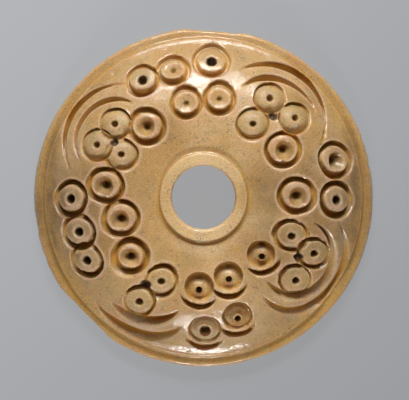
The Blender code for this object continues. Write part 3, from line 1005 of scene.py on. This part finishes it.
class Surface:
    """A new material and the nodes that are added to it."""

    def __init__(self, name):
        self.material = bpy.data.materials.new(name)
        self.material.use_nodes = True
        self.tree = self.material.node_tree
        self.place = self.node("ShaderNodeTexCoord", {}, "Object")

    def fill(self, node, inputs):
        """Gives a node's inputs their values, and links those whose value is another node's output."""
        for name, value in inputs.items():
            if isinstance(value, bpy.types.NodeSocket):
                self.tree.links.new(value, node.inputs[name])
            else:
                node.inputs[name].default_value = value

    def node(self, kind, inputs, output, **settings):
        """Adds a node and returns one of its outputs."""
        made = self.tree.nodes.new(kind)
        for name, value in settings.items():
            setattr(made, name, value)
        self.fill(made, inputs)
        return made.outputs[output]

    def shade(self, inputs):
        self.fill(self.tree.nodes["Principled BSDF"], inputs)

    def attribute(self, name):
        return self.node("ShaderNodeAttribute", {}, "Fac", attribute_name=name)

    def noise(self, pattern):
        inputs = dict(zip(("Scale", "Detail", "Roughness", "Distortion"), pattern))
        return self.node("ShaderNodeTexNoise", inputs | {"Vector": self.place}, "Fac")

    def remap(self, value, low, high, to_low=0.0, to_high=1.0):
        inputs = {"Value": value, "From Min": low, "From Max": high, "To Min": to_low, "To Max": to_high}
        return self.node("ShaderNodeMapRange", inputs, "Result", clamp=True)

    def mix(self, base, colour, amount):
        inputs = {"Factor": amount, 6: base, 7: colour}
        return self.node("ShaderNodeMix", inputs, 2, data_type="RGBA")

    def paint(self, base, colour, name, most):
        """Mixes a colour in where an attribute is high."""
        return self.mix(base, colour, self.remap(self.attribute(name), 0, 1, 0.0, most))

    def times(self, a, b):
        return self.node("ShaderNodeMath", {0: a, 1: b}, 0, operation="MULTIPLY", use_clamp=True)


def stone_material():
    """Clouded honey-coloured stone, a little translucent and polished, with the carving's marks. Painted
    shade darkens its grooves, pits, hollows, sides and the foot of its collar, and painted highlight pales
    its ridges and collar.
    """
    stone = Surface("stone_fine")
    attribute, remap, mix, paint, times = stone.attribute, stone.remap, stone.mix, stone.paint, stone.times
    broad, cloud, blotch, speck, pale, grain = map(stone.noise, (BROAD, CLOUD, BLOTCH, SPECK, PALE, GRAIN))

    colour = mix(DEEP_HONEY, PALE_HONEY, remap(broad, 0.38, 0.62))
    colour = mix(colour, ORANGE_CLOUD, remap(cloud, 0.52, 0.7, 0.0, 0.6))
    colour = mix(colour, OLIVE_CLOUD, remap(cloud, 0.46, 0.3, 0.0, 0.5))
    colour = paint(colour, DULL_FACE, "disc", 0.55)
    # Paler collar, with a painted highlight at its top and bottom
    colour = paint(colour, PALE_COLLAR_AND_HIGHLIGHT, "collar", 0.85)
    colour = paint(colour, AMBER_EDGE, "edge", 0.7)
    # Brown stains, and painted shade on the darker sides and foot
    colour = mix(colour, BROWN_STAIN_AND_SHADE, times(attribute("stain_and_shade"), remap(blotch, 0.35, 0.6, 0.7, 1.0)))
    dark_specks = times(remap(speck, 0.55, 0.66), remap(blotch, 0.50, 0.62, 0.10, 0.9))
    colour = mix(colour, DARK_SPECK, dark_specks)
    colour = mix(colour, PALE_SPECK, remap(pale, 0.66, 0.78, 0.0, 0.5))
    # Orange painted shade in the hollows, for the glow of shadowed translucent stone
    colour = mix(colour, ORANGE_PAINTED_SHADE, remap(attribute("hollow"), 0.5, 2.2, 0.0, 0.85))
    # Paler ridges: partly wear, partly painted highlight
    colour = mix(colour, RIDGE_WEAR_AND_HIGHLIGHT, remap(attribute("hollow"), -0.4, -1.8, 0.0, 0.5))
    # Painted shade where the carving's shadows fall
    colour = paint(colour, GROOVE_PAINTED_SHADE, "painted_shade", 0.92)
    # Pits painted dark: painted shade in the deep holes
    colour = mix(colour, PIT_PAINTED_SHADE, attribute("pit"))
    grained = {0: colour, "Scale": remap(grain, 0.3, 0.7, 0.76, 1.22)}

    stone.shade(STONE_SHADER)
    stone.shade({
        "Base Color": stone.node("ShaderNodeVectorMath", grained, "Vector", operation="SCALE"),
        "Roughness": remap(cloud, 0.3, 0.7, 0.42, 0.55),
        "Specular IOR Level": remap(attribute("painted_shade"), 0, 1, 0.5, 0.08),
        "Coat Weight": times(attribute("gloss"), remap(blotch, 0.35, 0.55, 0.5, 1.0)),
    })
    for layer, strength in GRAIN_FOLLOWED.items():
        bump = {"Strength": strength, "Distance": GRAIN_HEIGHT, "Height": grain}
        stone.shade({layer: stone.node("ShaderNodeBump", bump, "Normal")})
    return stone.material


# The picture's frame: the photograph is 409 by 400 pixels, and the disc's radius is 169.6 of them
PHOTO_WIDTH_PX = 409
PHOTO_HEIGHT_PX = 400
DISC_RADIUS_PX = 169.6
DISC_CENTRE_PX = (203.5, 197.3)
CAMERA_HEIGHT = 0.9
SENSOR_WIDTH = 36.0
# The lights: name, azimuth, elevation, width, height and power, all at one distance from the whorl
LIGHT_DISTANCE = 0.5
SOFTBOXES = (
    ("top_softbox", 0, 39, 0.27, 0.10, 2.50),
    ("top_glow", 0, 64, 0.34, 0.14, 0.16),
    ("bottom_softbox", 180, 25, 0.12, 0.05, 1.45),
)
ROOM_LIGHT = 0.02
ROOM_COLOUR = (1.0, 0.98, 0.95, 1)
# The paper, how it glows in the middle, and how that changes across and up it for each metre
PAPER_SHADER = {
    "Base Color": (0.06, 0.06, 0.064, 1),
    "Roughness": 0.9,
    "Specular IOR Level": 0.1,
    "Emission Color": (0.945, 0.965, 1.0, 1),
}
PAPER_GLOW = 0.352
PAPER_GLOW_SLOPE = (-6.6, 6.9, 0.0)
PAPER_HALF_SIZE = 1.5
# How far the paper lies below the whorl, so that they don't touch
PAPER_GAP = 0.00005


def add_camera():
    """A long lens straight above the whorl."""
    pixel = DISC_RADIUS / DISC_RADIUS_PX
    camera = bpy.data.cameras.new("camera")
    camera.sensor_width = SENSOR_WIDTH
    camera.lens = SENSOR_WIDTH * (CAMERA_HEIGHT - FLANGE_THICKNESS) / (PHOTO_WIDTH_PX * pixel)
    camera.clip_start = 0.01
    camera.clip_end = 10
    holder = add_object("camera", camera)
    right = (PHOTO_WIDTH_PX / 2 - DISC_CENTRE_PX[0]) * pixel
    down = (PHOTO_HEIGHT_PX / 2 - DISC_CENTRE_PX[1]) * pixel
    holder.location = (right, -down, CAMERA_HEIGHT)
    bpy.context.scene.camera = holder


def add_softbox(name, azimuth, elevation, width, height, power):
    """An area light that faces the whorl, from an azimuth clockwise from +Y and an elevation in degrees."""
    lamp = bpy.data.lights.new(name, "AREA")
    lamp.shape = "RECTANGLE"
    lamp.size = width
    lamp.size_y = height
    lamp.energy = power
    holder = add_object(name, lamp)
    across, up = math.radians(azimuth), math.radians(elevation)
    toward = Vector((math.sin(across) * math.cos(up), math.cos(across) * math.cos(up), math.sin(up)))
    holder.location = toward * LIGHT_DISTANCE
    holder.rotation_euler = toward.to_track_quat("Z", "Y").to_euler()


def add_floor():
    """A sheet of grey paper that glows a little, brighter towards its upper left."""
    mesh = bpy.data.meshes.new("floor")
    half = PAPER_HALF_SIZE
    corners = [(-half, -half, 0), (half, -half, 0), (half, half, 0), (-half, half, 0)]
    mesh.from_pydata(corners, [], [(0, 1, 2, 3)])
    floor = add_object("floor", mesh)
    floor.location.z = -PAPER_GAP
    paper = Surface("floor_paper")
    along_slope = {0: paper.place, 1: PAPER_GLOW_SLOPE}
    slope = paper.node("ShaderNodeVectorMath", along_slope, "Value", operation="DOT_PRODUCT")
    glow = paper.remap(slope, -1, 1, 0.5 * PAPER_GLOW, 1.5 * PAPER_GLOW)
    paper.shade(PAPER_SHADER | {"Emission Strength": glow})
    mesh.materials.append(paper.material)


def add_light():
    for softbox in SOFTBOXES:
        add_softbox(*softbox)
    world = bpy.data.worlds.new("studio")
    world.use_nodes = True
    background = world.node_tree.nodes["Background"]
    background.inputs["Color"].default_value = ROOM_COLOUR
    background.inputs["Strength"].default_value = ROOM_LIGHT
    bpy.context.scene.world = world


whorl = build_whorl()
whorl.data.materials.append(stone_material())
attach(whorl, "root")
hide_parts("whorl")
add_camera()
add_floor()
add_light()
bpy.context.scene.view_settings.view_transform = "Standard"
